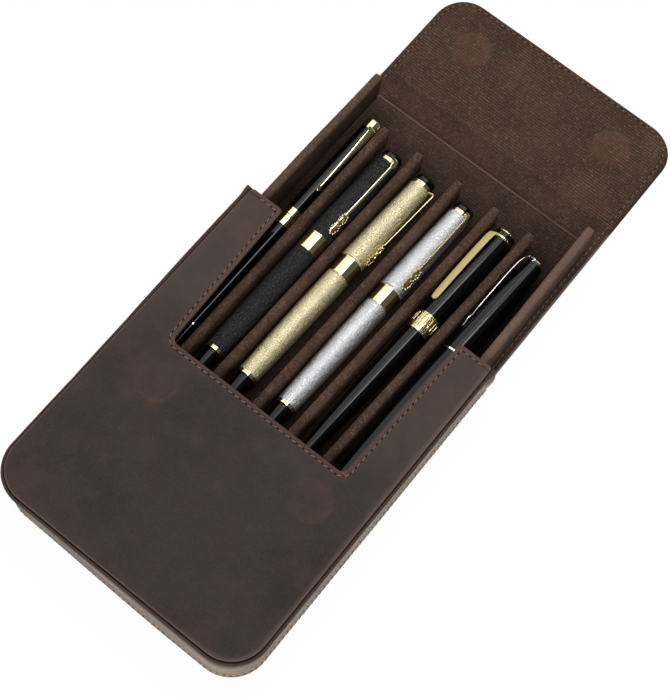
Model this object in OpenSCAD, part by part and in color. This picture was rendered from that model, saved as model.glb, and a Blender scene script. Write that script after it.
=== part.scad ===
// Leather pen case: a flat pouch with a cut-out front, a long magnetic flap
// and a sliding padded tray that carries six pens.
// Laid on its back: +X across the pouch, +Y from the pouch towards the flap's
// tip, +Z up. The origin is on the underside, in the middle of the mouth line.
// The tray stands pulled out and the flap lies flat under it.

/* [Pouch] */
// Width of the pouch over its front panel
case_w = 140; // [130:1:200]
// Length of the pouch from its mouth to its foot
case_l = 180; // [170:1:220]
// Thickness of the closed pouch
case_t = 31.5; // [28:0.5:45]
// Radius of the two corners at the foot
corner_r = 17.5; // [12:0.5:30]
// Radius of the two corners at the mouth
mouth_r = 1.5; // [0.5:0.5:4]

/* [Panels] */
// Thickness of the outer leather
leather_t = 1.6; // [1:0.1:2.5]
// Thickness of the stiffening board inside each panel
board_t = 1.5; // [1:0.1:2.5]
// Thickness of the suede lining
lining_t = 0.6; // [0.4:0.1:1.2]

/* [Gusset] */
// How far the side wall stands back under the front panel's edge
groove = 0.8; // [0.4:0.1:1.5]
// How far the side wall bows outwards between the panels
gusset_bow = 1.5; // [0.2:0.1:2.5]
// Thickness of the wall's rolled rim beside the front panel
welt_d = 1.5; // [0.8:0.1:2.5]
// Width of the seam allowance turned out at the back panel
seam_w = 1.8; // [0.8:0.1:3]
// Thickness of that seam allowance
seam_t = 1.4; // [0.8:0.1:2]

/* [Cut-out] */
// Width of the front panel's cut-out at the mouth
cut_w_mouth = 103.4; // [60:0.1:110]
// Width of the cut-out at its inner end
cut_w_foot = 97.8; // [50:0.1:105]
// Depth of the cut-out from the mouth
cut_d = 82; // [40:1:100]
// Radius of its inner corners
cut_r = 3; // [1:0.5:10]

/* [Flap] */
// Length of the flap from the mouth line to its tip
flap_l = 167; // [145:1:220]
// Radius of the flap's corners
flap_r = 17; // [6:1:30]
// Running gap in the lining at each fold
crease_gap = 0.2; // [0.1:0.1:1]
// Distance from the pulled-out tray to the first fold
crease_clear = 2; // [1:0.5:10]

/* [Magnets] */
// Diameter of each disc magnet
magnet_d = 18; // [10:1:24]
// Thickness of each disc magnet
magnet_t = 1.3; // [0.8:0.1:1.4]
// Distance between the two magnets of a pair
magnet_span = 86.6; // [50:0.1:110]
// How far the panel's magnets sit to the right of its middle
magnet_drift = 1.9; // [0:0.1:4]
// Distance of the panel's magnets from the mouth
magnet_panel_y = 101.2; // [95:0.1:130]
// Distance of the flap's magnets from its tip
magnet_tip_y = 25; // [16:1:35]

/* [Tray] */
// How far the tray is pulled out of the pouch
tray_out = 89.5; // [0:0.5:100]
// Running gap between the tray and the pouch at each side and at the foot
tray_gap = 0.7; // [0.4:0.1:2]
// Running gap under the tray
tray_lift = 0.3; // [0.2:0.1:1]
// Headroom between the tray's walls and the front panel
tray_headroom = 1.2; // [0.6:0.1:4]
// Thickness of the tray's padded walls
wall_t = 4.4; // [2.5:0.1:6]
// Radius of the upper corner at each wall's open end
wall_end_r = 3; // [1:0.5:6]
// Thickness of the leather under the tray
tray_skin_t = 0.8; // [0.5:0.1:1.5]
// Thickness of the suede on the tray's floor
tray_suede_t = 0.7; // [0.4:0.1:1.2]

/* [Dividers] */
// Thickness of each padded divider
divider_t = 4.7; // [3:0.1:6]
// Height of each divider above the tray's floor
divider_h = 13.5; // [8:0.5:18]
// Distance of the dividers' ends from the tray's open end
divider_setback = 18; // [5:1:40]
// How far the divider row leans to the left at its foot
divider_drift = 4.3; // [0:0.1:5]
// How much closer together the dividers stand at their foot
divider_close = 0.95; // [0:0.05:1.2]

/* [Pens] */
// Gap under each pen as it lies in its slot
pen_seat = 0.15; // [0.1:0.05:0.5]
// Gap between the pens' ends and the tray's end wall
pen_end_gap = 0.5; // [0.3:0.1:3]
// Diameter of the slim pen's cap
slim_d = 9; // [7:0.1:10]
// Diameter of the three sleeved pens' caps
sleeve_d = 13; // [10:0.1:13.4]
// Diameter of the lacquered pen's cap
lacquer_d = 12.6; // [10:0.1:13.4]
// Diameter of the largest pen's cap
large_d = 13.8; // [11:0.1:14.2]
// Length of the slim pen
slim_l = 155; // [130:1:160]
// Length of the sleeved pens
sleeve_l = 146; // [130:1:160]
// Length of the lacquered pen
lacquer_l = 147; // [130:1:160]
// Length of the largest pen
large_l = 145; // [130:1:160]

/* [Hidden] */
$fn = 64;

leather = "#463b35";
suede = "#4e3a2e";
board = "#8a7a62";
steel = "#9a9a9c";
black = "#141414";
gold = "#d8b35a";
silver = "#c9cdd0";

// Panels
panel_t = leather_t + board_t + lining_t;
wall_in = groove + leather_t + lining_t;          // rim line to the cavity
cavity_w = case_w - 2*wall_in;
cavity_l = case_l - wall_in;
board_in = wall_in + 0.2;                          // boards stop inside the walls
board_edge = 4;                                    // boards stop short of sewn edges

// Tray
tray_w = cavity_w - 2*tray_gap;
tray_l = cavity_l - tray_gap;
tray_z = panel_t + tray_lift;
tray_end_y = tray_out;
tray_foot_y = tray_out - tray_l;
tray_r = corner_r - wall_in - tray_gap;            // the tray's foot follows the pouch
tray_in_w = tray_w - 2*wall_t;
tray_in_r = tray_r - wall_t;
floor_z = tray_z + tray_skin_t + board_t + tray_suede_t;
wall_top_z = case_t - panel_t - tray_headroom;
slots = 6;
slot_pitch = (tray_in_w + divider_t)/slots;
foot_pitch = slot_pitch - divider_close;
divider_end_y = tray_end_y - divider_setback;
divider_foot_y = tray_foot_y + wall_t;

// Flap folds
crease_1_y = tray_end_y + crease_clear;
spine_l = case_t - panel_t + 0.5;                  // lets the flap clear the panel
crease_2_y = crease_1_y + spine_l;

// How far each soft divider strays from even spacing, at its open end and its foot
stray_open = [-1.4, -1.9, 0.2, 0.8, 0];
stray_foot = [0, -1.4, 1.2, 1.3, 0.5];

function divider_x(i) = (i - 2)*slot_pitch + stray_open[i];
function divider_foot_x(i) = (i - 2)*foot_pitch - divider_drift + stray_foot[i];

// The left and right sides of slot i, at the dividers' open ends and at their foot
function slot_open(i) = [i == 0 ? -tray_in_w/2 : divider_x(i - 1) + divider_t/2,
                         i == slots - 1 ? tray_in_w/2 : divider_x(i) - divider_t/2];
function slot_foot(i) = [i == 0 ? -tray_in_w/2 : divider_foot_x(i - 1) + divider_t/2,
                         i == slots - 1 ? tray_in_w/2 : divider_foot_x(i) - divider_t/2];

// Where a pen d thick lies between two sides: -1 against the left one, 1 the right
function lying(sides, d, share) = (sides[0] + sides[1])/2 + share*(sides[1] - sides[0] - d)/2;
lie_open = [0.6, 0.3, -0.6, -0.55, 0.55, 0];
lie_foot = [0.9, -0.2, -0.75, -0.85, -0.6, -0.85];
divider_foot_gap = 0.1;

// Where the tray's inner face stands at its foot, for a piece of half width h at x
function foot_face_y(x, h) =
    let (into = max(0, abs(x) + h - (tray_in_w/2 - tray_in_r)))
    divider_foot_y + tray_in_r - sqrt(tray_in_r*tray_in_r - into*into);

// ---- plan shapes --------------------------------------------------------

// A panel with two rounded corners at its foot, grown by o, ending at y1
module foot_plan(o = 0, y1 = 0) {
    w = case_w + 2*o;
    r = corner_r + o;
    y0 = -case_l - o;
    translate([-w/2, y0 + r]) square([w, y1 - y0 - r]);
    translate([-w/2 + r, y0]) square([w - 2*r, 2*r]);
    for (s = [-1, 1]) translate([s*(w/2 - r), y0 + r]) circle(r);
}

// A strip of the flap from y0 to y1
module flap_strip(w, y0, y1) translate([-w/2, y0]) square([w, y1 - y0]);

// The flap's tip, with two rounded corners, set in by o
module tip_plan(y0, o = 0) {
    w = case_w - 2*o;
    r = flap_r - o;
    y1 = flap_l - o;
    translate([-w/2, y0]) square([w, y1 - r - y0]);
    translate([-w/2 + r, y1 - 2*r]) square([w - 2*r, 2*r]);
    for (s = [-1, 1]) translate([s*(w/2 - r), y1 - r]) circle(r);
}

// The cut-out in the front panel, grown by o and open at the mouth
module cut_plan(o = 0) {
    half_m = cut_w_mouth/2 + o;
    half_f = cut_w_foot/2 + o;
    r = cut_r + o;
    y0 = -cut_d - o;
    slant = atan((half_m - half_f)/-y0);
    cx = half_f + r*tan(slant) - r/cos(slant);
    arc = [for (k = [0:10]) let (a = -slant - (90 - slant)*k/10) [cx + r*cos(a), y0 + r + r*sin(a)]];
    polygon(concat([[half_m, 1], [half_m, 0]], arc,
                   [for (k = [10:-1:0]) [-arc[k][0], arc[k][1]]], [[-half_m, 0], [-half_m, 1]]));
}

// Sweeps a profile round the foot of a plan w wide, with its open end at y = 0,
// its foot at y = -l and corners of radius r. In the profile x is the distance
// outside the plan's edge and y is the height.
module foot_sweep(w, l, r, sides = true) {
    for (s = [0, 1]) mirror([s, 0, 0]) {
        if (sides) translate([w/2, 0, 0]) rotate([90, 0, 0]) linear_extrude(l - r) children();
        translate([w/2 - r, -l + r, 0]) rotate([0, 0, -90])
            rotate_extrude(angle = 90) translate([r, 0]) children();
    }
    translate([w/2 - r, -l, 0]) rotate([90, 0, -90]) linear_extrude(w - 2*r) children();
}

module discs(x, y, z, d, t)
    for (s = [-1, 1]) translate([x + s*magnet_span/2, y, z]) cylinder(d = d, h = t);

// ---- pouch --------------------------------------------------------------

module back_leather() color(leather)
    linear_extrude(leather_t) {
        foot_plan(seam_w);
        flap_strip(case_w, -2, crease_1_y - crease_gap/2);
    }

module back_board() color(board)
    translate([0, 0, leather_t]) linear_extrude(board_t)
        foot_plan(-board_in, -board_edge);

module back_lining() color(suede) {
    translate([0, 0, leather_t + board_t]) linear_extrude(lining_t) {
        foot_plan(-board_in, 0);
        flap_strip(case_w, 0, crease_1_y - crease_gap/2);
    }
    // beyond the pouch the lining is padded down to the leather
    translate([0, 0, leather_t]) linear_extrude(board_t)
        flap_strip(case_w, 0, crease_1_y - crease_gap/2);
}

gusset_z0 = leather_t;
gusset_z1 = case_t - leather_t;

// The wall's section: a turned-out seam at its foot, an outer face that bows
// out as an arc above it, and a rolled rim that stands beside the front panel
module gusset() color(leather) foot_sweep(case_w, case_l, corner_r) {
    z0 = gusset_z0 + seam_t;
    chord = gusset_z1 - z0;
    bow_r = (chord*chord/4 + gusset_bow*gusset_bow)/(2*gusset_bow);
    translate([-groove - leather_t, gusset_z0]) square([leather_t, gusset_z1 - gusset_z0]);
    translate([-groove - leather_t, gusset_z0]) square([groove + leather_t + seam_w, seam_t]);
    intersection() {
        translate([-groove + gusset_bow - bow_r, z0 + chord/2]) circle(bow_r, $fn = 360);
        translate([-groove - leather_t/2, z0]) square([leather_t + gusset_bow, chord]);
    }
    translate([-groove - leather_t/2, gusset_z1 - welt_d])
        square([groove + leather_t/2 + seam_w - welt_d/2, welt_d]);
    translate([seam_w - welt_d/2, gusset_z1 - welt_d/2]) circle(d = welt_d);
}

module gusset_lining() color(suede) foot_sweep(case_w, case_l, corner_r)
    translate([-wall_in, gusset_z0]) square([lining_t, gusset_z1 - gusset_z0]);

module mouth_corners(w) for (s = [0, 1]) mirror([s, 0, 0]) difference() {
    translate([w/2 - mouth_r, -mouth_r]) square(2*mouth_r);
    translate([w/2 - mouth_r, -mouth_r]) circle(mouth_r);
}

module front_leather() color(leather)
    translate([0, 0, case_t - leather_t]) linear_extrude(leather_t) difference() {
        foot_plan();
        cut_plan();
        mouth_corners(case_w);
    }

module front_board() color(board)
    translate([0, 0, case_t - leather_t - board_t]) difference() {
        linear_extrude(board_t) difference() {
            foot_plan(-board_in, -board_edge);
            cut_plan(board_edge);
        }
        translate([0, 0, -1]) discs(magnet_drift, -magnet_panel_y, 0, magnet_d + 0.4, board_t + 2);
    }

module front_lining() color(suede)
    translate([0, 0, case_t - panel_t]) linear_extrude(lining_t) difference() {
        foot_plan(-board_in, 0);
        cut_plan();
    }

module panel_magnets() color(steel)
    discs(magnet_drift, -magnet_panel_y, case_t - leather_t - magnet_t, magnet_d, magnet_t);

// ---- flap ---------------------------------------------------------------

module spine_leather() color(leather) linear_extrude(leather_t)
    flap_strip(case_w, crease_1_y + crease_gap/2, crease_2_y - crease_gap/2);

module spine_lining() color(suede)
    translate([0, 0, leather_t]) linear_extrude(board_t + lining_t)
        flap_strip(case_w, crease_1_y + crease_gap/2, crease_2_y - crease_gap/2);

module flap_leather() color(leather) linear_extrude(leather_t)
    tip_plan(crease_2_y + crease_gap/2);

module flap_board() color(board) translate([0, 0, leather_t]) difference() {
    linear_extrude(board_t) tip_plan(crease_2_y + board_edge, board_edge);
    translate([0, 0, -1]) discs(0, flap_l - magnet_tip_y, 0, magnet_d + 0.4, board_t + 2);
}

// the lining covers the board and is turned down round it to the leather
module flap_lining() color(suede) {
    translate([0, 0, leather_t + board_t]) linear_extrude(lining_t)
        tip_plan(crease_2_y + crease_gap/2);
    translate([0, 0, leather_t]) linear_extrude(board_t) difference() {
        tip_plan(crease_2_y + crease_gap/2);
        tip_plan(crease_2_y + board_edge, board_edge);
    }
}

module flap_magnets() color(steel)
    discs(0, flap_l - magnet_tip_y, leather_t + board_t - magnet_t, magnet_d, magnet_t);

// ---- tray ---------------------------------------------------------------

module tray_layer(z, t) translate([0, 0, z]) linear_extrude(t) {
    y0 = divider_foot_y;
    r = tray_in_r;
    translate([-tray_in_w/2, y0 + r]) square([tray_in_w, tray_end_y - y0 - r]);
    translate([-tray_in_w/2 + r, y0]) square([tray_in_w - 2*r, 2*r]);
    for (s = [-1, 1]) translate([s*(tray_in_w/2 - r), y0 + r]) circle(r);
}

module tray_base() color(leather) tray_layer(tray_z, tray_skin_t);

module tray_board() color(board) tray_layer(tray_z + tray_skin_t, board_t);

module tray_floor() color(suede) tray_layer(tray_z + tray_skin_t + board_t, tray_suede_t);

// The section of a padded wall: t thick and h high with a round top
module wall_section(t, h) {
    translate([-t/2, 0]) square([t, h - t/2]);
    translate([0, h - t/2]) circle(d = t);
}

// A padded wall along +Y, with the upper corner of its far end rounded
module padded_wall(len, t, h) intersection() {
    translate([0, len, 0]) rotate([90, 0, 0]) linear_extrude(len) wall_section(t, h);
    translate([t, 0, 0]) rotate([0, -90, 0]) linear_extrude(2*t) {
        square([h, len - wall_end_r]);
        square([h - wall_end_r, len]);
        translate([h - wall_end_r, len - wall_end_r]) circle(wall_end_r);
    }
}

module tray_side(s) color(suede)
    translate([s*(tray_w - wall_t)/2, tray_foot_y + tray_r, tray_z])
        padded_wall(tray_l - tray_r, wall_t, wall_top_z - tray_z);

module tray_wall_left() tray_side(-1);

module tray_wall_right() tray_side(1);

module tray_wall_end() color(suede)
    translate([0, tray_end_y, tray_z]) foot_sweep(tray_w, tray_l, tray_r, sides = false)
        translate([-wall_t/2, 0]) wall_section(wall_t, wall_top_z - tray_z);

module divider(i) {
    x0 = divider_foot_x(i);
    y0 = foot_face_y(x0, divider_t/2) + divider_foot_gap;
    lean = atan((divider_x(i) - x0)/(divider_end_y - divider_foot_y));
    foot = divider_t/2*sin(abs(lean));             // clears the slanted foot's corner
    color(suede) translate([x0, y0 + foot, floor_z]) rotate([0, 0, -lean])
        padded_wall((divider_end_y - y0 - foot)/cos(lean), divider_t, divider_h);
}

module divider_1() divider(0);
module divider_2() divider(1);
module divider_3() divider(2);
module divider_4() divider(3);
module divider_5() divider(4);

// ---- pens ---------------------------------------------------------------
// A pen is built along +Z from its tail at the origin, with its clip towards
// -Y, and then laid in slot i with the clip turned by roll about the pen.

module lay_pen(i, d, tail_d, roll = 0) {
    reach = divider_end_y - divider_foot_y;
    x0 = lying(slot_foot(i), d, lie_foot[i]);
    x1 = lying(slot_open(i), d, lie_open[i]);
    yaw = atan((x1 - x0)/reach);
    translate([x0, foot_face_y(x0, tail_d/2) + pen_end_gap, floor_z + pen_seat + d/2])
        rotate([0, 0, -yaw]) rotate([-90, 0, 0]) rotate([0, 0, roll]) children();
}

// A turned piece from points of [height, radius]
module turned(points) {
    last = len(points) - 1;
    rotate_extrude() polygon(concat([[0, points[0][0]]], [for (p = points) [p[1], p[0]]],
                                    [[0, points[last][0]]]));
}

// A taper from (z0, r0) to (z1, r1) that swells by bulge half way
function taper(z0, r0, z1, r1, bulge = 0, n = 8) =
    [for (k = [0:n]) let (f = k/n) [z0 + f*(z1 - z0), r0 + f*(r1 - r0) + bulge*sin(180*f)]];

// A band with a fine raised bead at each end
function band(z0, z1, r, bead = 0.2, w = 0.7) =
    [[z0, r + bead], [z0 + w, r + bead], [z0 + w, r],
     [z1 - w, r], [z1 - w, r + bead], [z1, r + bead]];

// A spring clip towards -Y. It leaves the cap at z_top, root out from the cap's
// radius, rises by lift and comes back to the cap at z_tip. w0 and w1 are its
// widths at the top and the round tip, shoulder is the share of its length that rises
// and curve says how late it comes back down.
module clip(z_top, z_tip, cap_r, lift, w0, w1, t = 0.8, curve = 1.5, shoulder = 0.1, root = 0.2) {
    n = 16;
    gap = 0.2;                                     // the tip's gap to the cap
    function rise(f) = f < shoulder ? root + (lift - root)*sin(90*f/shoulder)
                     : lift - (lift - gap)*pow((f - shoulder)/(1 - shoulder), curve);
    under = [for (k = [0:n]) let (f = k/n) [cap_r + rise(f), z_top - f*(z_top - z_tip)]];
    over = [for (k = [n:-1:0]) [under[k][0] + t, under[k][1]]];
    intersection() {
        rotate([90, 0, -90]) linear_extrude(2*w0 + 2*w1, center = true)
            polygon(concat(under, over));
        rotate([90, 0, 0]) linear_extrude(3*cap_r)
            polygon(concat([[-w0/2, z_top], [w0/2, z_top]],
                           [for (k = [0:12]) w1/2*[cos(15*k), -sin(15*k)] + [0, z_tip + w1/2]]));
    }
}

// The slim pen, in the first slot
slim_tail = 16.5;
slim_tail_d = 1.6;
slim_waist = 82.2;
slim_ring_low = 5.9;
slim_ring_gap = 0.5;
slim_ring_high = 3.8;
slim_ring_z = slim_waist + slim_ring_low + slim_ring_gap;
slim_cap_z = slim_ring_z + slim_ring_high;
slim_crown = 6;
slim_clip_l = 48.6;

module lay_slim(roll = 0) lay_pen(0, slim_d, slim_tail_d, roll) children();

module slim_pen_barrel() color(black) lay_slim() {
    r = slim_d/2 - 0.5;
    turned(concat([[0, slim_tail_d/2], [0.6, 1.8]], taper(1.5, 2.3, slim_tail, r - 0.9, 0.15)));
    turned(taper(slim_tail + 1, r - 0.9, slim_waist, r, 0.3));
}

module slim_pen_cap() color(black) lay_slim()
    turned(taper(slim_cap_z, slim_d/2, slim_l - slim_crown, slim_d/2 - 0.3, 0.05));

module slim_pen_trim() color(gold) lay_slim() {
    turned([[slim_tail, slim_d/2 - 1.25], [slim_tail + 1, slim_d/2 - 1.25]]);
    turned(band(slim_waist, slim_waist + slim_ring_low, slim_d/2 - 0.25));
    turned([[slim_waist + slim_ring_low, slim_d/2 - 0.8], [slim_ring_z, slim_d/2 - 0.8]]);
    turned(band(slim_ring_z, slim_cap_z, slim_d/2 - 0.1));
    turned(concat([[slim_l - slim_crown, slim_d/2]], taper(slim_l - slim_crown + 4.6, slim_d/2,
                   slim_l, slim_d/2 - 1.1, 0.35)));
}

module slim_pen_clip() color(gold) lay_slim(28) {
    z_tip = slim_l - slim_clip_l;
    clip(slim_l - slim_crown - 0.2, z_tip, slim_d/2, 2.2, 3.4, 1.5, 0.8, 1.2);
    translate([0, -slim_d/2 - 1, z_tip - 0.4]) sphere(d = 2);
}

// The three sleeved pens: a textured sleeve on cap and barrel, turned black ends
sleeve_tail = 12.3;
sleeve_tail_d = 5.2;
sleeve_tail_ring = 1.7;
sleeve_band = 10;
sleeve_cap = 51.5;
sleeve_top_ring = 1.8;
sleeve_finial = 4.6;
sleeve_cap_z = sleeve_l - sleeve_finial - sleeve_top_ring - sleeve_cap;
sleeve_top_z = sleeve_cap_z + sleeve_cap;
sleeve_clip_l = 49.5;
sleeve_drop_l = 13.5;                              // the clip's ornamental end

module lay_sleeved(i, roll = 0) lay_pen(i, sleeve_d, sleeve_tail_d, roll) children();

module sleeved_barrel(i, col) color(col) lay_sleeved(i)
    turned(concat(taper(sleeve_tail + sleeve_tail_ring, sleeve_d/2 - 1.3,
                        sleeve_cap_z - sleeve_band - 1, sleeve_d/2 - 0.45, 0.25),
                  [[sleeve_cap_z - sleeve_band, sleeve_d/2 - 0.75]]));

module sleeved_cap(i, col) color(col) lay_sleeved(i)
    turned(concat([[sleeve_cap_z, sleeve_d/2 - 0.35], [sleeve_cap_z + 0.8, sleeve_d/2]],
                  taper(sleeve_cap_z + 1.6, sleeve_d/2, sleeve_top_z, sleeve_d/2 - 0.8, 0.1)));

module sleeved_ends(i) color(black) lay_sleeved(i) {
    turned(concat([[0, sleeve_tail_d/2], [0.5, 3.2]], taper(1.2, 3.6, sleeve_tail, sleeve_d/2 - 2, 0.1)));
    turned([[sleeve_l - sleeve_finial, sleeve_d/2 - 1], [sleeve_l - 1.2, sleeve_d/2 - 1.2],
            [sleeve_l - 0.4, sleeve_d/2 - 1.7], [sleeve_l, sleeve_d/2 - 2.6]]);
}

module sleeved_trim(i) color(gold) lay_sleeved(i) {
    turned(band(sleeve_tail, sleeve_tail + sleeve_tail_ring, sleeve_d/2 - 1.5, 0.25, 0.5));
    turned(band(sleeve_cap_z - sleeve_band, sleeve_cap_z, sleeve_d/2 - 0.5));
    turned(band(sleeve_top_z, sleeve_top_z + sleeve_top_ring, sleeve_d/2 - 0.85, 0.2, 0.5));
}

// A slender bar with a long ornamental end, as a pointed drop
module sleeved_clip(i, roll, w, drop_w, lift = 2.4) color(gold) lay_sleeved(i, roll) {
    z_tip = sleeve_top_z + 1 - sleeve_clip_l;
    r = sleeve_d/2;
    clip(sleeve_top_z + 1, z_tip + 2, r, lift, w, w, 0.9, 2.2);
    translate([0, -r - 0.25, z_tip]) rotate([90, 0, 0]) linear_extrude(1.5)
        polygon([[-drop_w*0.3, 0], [drop_w*0.3, 0], [drop_w/2, 2.2], [drop_w*0.42, 6.4], [drop_w/2, 10],
                 [w/2, sleeve_drop_l], [-w/2, sleeve_drop_l],
                 [-drop_w/2, 10], [-drop_w*0.42, 6.4], [-drop_w/2, 2.2]]);
}

module black_pen_cap() sleeved_cap(1, "#26262a");
module black_pen_barrel() sleeved_barrel(1, "#26262a");
module black_pen_ends() sleeved_ends(1);
module black_pen_trim() sleeved_trim(1);
module black_pen_clip() sleeved_clip(1, 32, 1.8, 4);

module gold_pen_cap() sleeved_cap(2, "#e0c27c");
module gold_pen_barrel() sleeved_barrel(2, "#e0c27c");
module gold_pen_ends() sleeved_ends(2);
module gold_pen_trim() sleeved_trim(2);
module gold_pen_clip() sleeved_clip(2, 68, 0.9, 3.4, 2);

module silver_pen_cap() sleeved_cap(3, silver);
module silver_pen_barrel() sleeved_barrel(3, silver);
module silver_pen_ends() sleeved_ends(3);
module silver_pen_trim() sleeved_trim(3);
module silver_pen_clip() sleeved_clip(3, 38, 1.6, 4);

// The lacquered pen, with a broad strap clip and a fluted band
lacquer_tail = 3;
lacquer_tail_d = 3.2;
lacquer_band = 10;
lacquer_cap = 53.2;
lacquer_head = 4.6;
lacquer_cap_z = lacquer_l - lacquer_head - lacquer_cap;

module lay_lacquer(roll = 0) lay_pen(4, lacquer_d, lacquer_tail_d, roll) children();

module lacquer_pen_barrel() color(black) lay_lacquer()
    turned(concat([[0, lacquer_tail_d/2], [0.5, 2.6], [lacquer_tail, 3.1]],
                  taper(lacquer_tail + 0.5, 3.2, lacquer_cap_z - lacquer_band, lacquer_d/2 - 0.7, 0.7)));

module lacquer_pen_cap() color(black) lay_lacquer() {
    r = lacquer_d/2;
    turned(taper(lacquer_cap_z, r - 0.15, lacquer_l - lacquer_head, r - 0.45, 0.12));
    turned(taper(lacquer_l - lacquer_head + 1, r - 0.55, lacquer_l - 0.8, r - 0.7, 0.05));
}

module lacquer_pen_trim() color(gold) lay_lacquer() {
    r = lacquer_d/2;
    z0 = lacquer_cap_z - lacquer_band;
    turned(band(z0, z0 + 3, r - 0.45, 0.2, 0.6));
    // flutes round the wide part of the band
    difference() {
        turned(band(z0 + 3, lacquer_cap_z, r - 0.3, 0.2, 0.7));
        for (k = [0:17]) rotate([0, 0, 20*k]) translate([r - 0.15, 0, z0 + 4]) cylinder(d = 0.9, h = 5.2, $fn = 16);
    }
    turned([[lacquer_l - lacquer_head, r - 0.4], [lacquer_l - lacquer_head + 1, r - 0.45]]);
    turned([[lacquer_l - 0.8, r - 0.65], [lacquer_l - 0.3, r - 0.7], [lacquer_l, r - 1.3]]);
}

module lacquer_pen_clip() color(gold) lay_lacquer(-40)
    clip(lacquer_l - lacquer_head + 0.2, lacquer_cap_z + 7.6, lacquer_d/2, 1.5, 4.8, 4, 0.8, 2.6);

// The largest pen, a torpedo with a thin waved clip
large_tail_d = 2.8;
large_ring_z = 81;
large_ring_w = 0.9;
large_crown = 2.6;
large_clip_l = 50.5;

module lay_large(roll = 0) lay_pen(5, large_d, large_tail_d, roll) children();

module large_pen_barrel() color(black) lay_large()
    turned(concat([[0, large_tail_d/2], [0.5, 2.6], [1.6, 3.4]], taper(3, 3.9, large_ring_z, large_d/2 - 0.5, 1)));

module large_pen_cap() color(black) lay_large()
    turned(taper(large_ring_z + large_ring_w, large_d/2 - 0.2, large_l - large_crown, large_d/2 - 2.6, 0.9));

module large_pen_trim() color(silver) lay_large() {
    turned([[large_ring_z, large_d/2 - 0.1], [large_ring_z + large_ring_w, large_d/2 - 0.1]]);
    turned(taper(large_l - large_crown, large_d/2 - 2.5, large_l, large_d/2 - 4, 0.3));
}

module large_pen_clip() color(silver) lay_large(-52)
    clip(large_l - 0.6, large_l - large_clip_l, large_d/2 + 0.2, 1.1, 2.2, 1.6, 0.8, 1.5, 0.3, -3.4);

// ---- one node at a time ---------------------------------------------------

back_leather();
back_board();
back_lining();
gusset();
gusset_lining();
front_leather();
front_board();
front_lining();
panel_magnets();
spine_leather();
spine_lining();
flap_leather();
flap_board();
flap_lining();
flap_magnets();
tray_base();
tray_board();
tray_floor();
tray_wall_left();
tray_wall_right();
tray_wall_end();
divider_1();
divider_2();
divider_3();
divider_4();
divider_5();
slim_pen_cap();
slim_pen_barrel();
slim_pen_trim();
slim_pen_clip();
black_pen_cap();
black_pen_barrel();
black_pen_ends();
black_pen_trim();
black_pen_clip();
gold_pen_cap();
gold_pen_barrel();
gold_pen_ends();
gold_pen_trim();
gold_pen_clip();
silver_pen_cap();
silver_pen_barrel();
silver_pen_ends();
silver_pen_trim();
silver_pen_clip();
lacquer_pen_cap();
lacquer_pen_barrel();
lacquer_pen_trim();
lacquer_pen_clip();
large_pen_cap();
large_pen_barrel();
large_pen_trim();
large_pen_clip();
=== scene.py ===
import math
import bpy
import bmesh
import numpy as np
from mathutils import Matrix, Vector, noise


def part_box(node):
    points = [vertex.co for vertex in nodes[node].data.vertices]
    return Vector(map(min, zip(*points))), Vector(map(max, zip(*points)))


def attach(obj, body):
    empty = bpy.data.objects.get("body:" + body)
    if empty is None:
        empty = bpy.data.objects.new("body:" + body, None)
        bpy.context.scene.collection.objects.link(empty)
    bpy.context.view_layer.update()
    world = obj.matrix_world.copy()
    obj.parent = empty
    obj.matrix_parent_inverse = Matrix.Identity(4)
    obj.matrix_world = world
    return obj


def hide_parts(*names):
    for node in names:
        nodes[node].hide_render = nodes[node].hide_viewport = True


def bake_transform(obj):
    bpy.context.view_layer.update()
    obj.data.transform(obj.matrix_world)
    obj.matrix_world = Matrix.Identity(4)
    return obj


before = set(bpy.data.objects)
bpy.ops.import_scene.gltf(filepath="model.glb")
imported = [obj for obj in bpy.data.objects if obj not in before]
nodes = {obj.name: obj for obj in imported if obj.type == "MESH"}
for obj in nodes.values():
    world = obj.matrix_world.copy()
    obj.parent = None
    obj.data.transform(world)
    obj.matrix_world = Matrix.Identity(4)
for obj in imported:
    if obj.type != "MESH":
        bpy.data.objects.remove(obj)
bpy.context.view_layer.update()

scene = bpy.context.scene
mm = 0.001    # lengths below are in mm until they reach a mesh

studio = {
    "cameraPlace": (0.14389, -0.28302, 0.73583), "cameraTurn": (21.239, -3.792, 38.37), "lens": 90.54,
    "floorColour": (0.96, 0.96, 0.96), "floorGlow": 0.92, "glowStrength": 1.03, "floorSize": 12,
    "skyColour": (0.94, 0.96, 1), "skyLevel": 0.1,
    # place, size across and along the pens, watts
    "lamps": {"left": ((-0.745, 0.468, 0.953), (1.16, 1), 4.2),
              "above": ((0.02, 0.45, 1.165), (0.72, 1), 4.1),
              "strip": ((0.17, 0.32, 1.03), (0.12, 0.35), 0.8),
              "front": ((0.35, -1.15, 1.05), (0.9, 0.6), 9.2)},
}

lens = bpy.data.cameras.new("camera")
lens.sensor_fit = "HORIZONTAL"
lens.sensor_width = 36
lens.lens = studio["lens"]
camera = bpy.data.objects.new("camera", lens)
camera.location = studio["cameraPlace"]
camera.rotation_euler = [math.radians(a) for a in studio["cameraTurn"]]
scene.collection.objects.link(camera)
scene.camera = camera

for name, (place, size, watts) in studio["lamps"].items():
    lamp = bpy.data.lights.new("lamp_" + name, "AREA")
    lamp.shape = "RECTANGLE"
    lamp.size, lamp.size_y = size
    lamp.energy = watts
    holder = bpy.data.objects.new("lamp_" + name, lamp)
    away = Vector(place).normalized()
    across = Vector((0, 1, 0)).cross(away).normalized()
    holder.location = place
    holder.rotation_euler = Matrix((across, away.cross(across), away)).transposed().to_euler()
    scene.collection.objects.link(holder)

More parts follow.
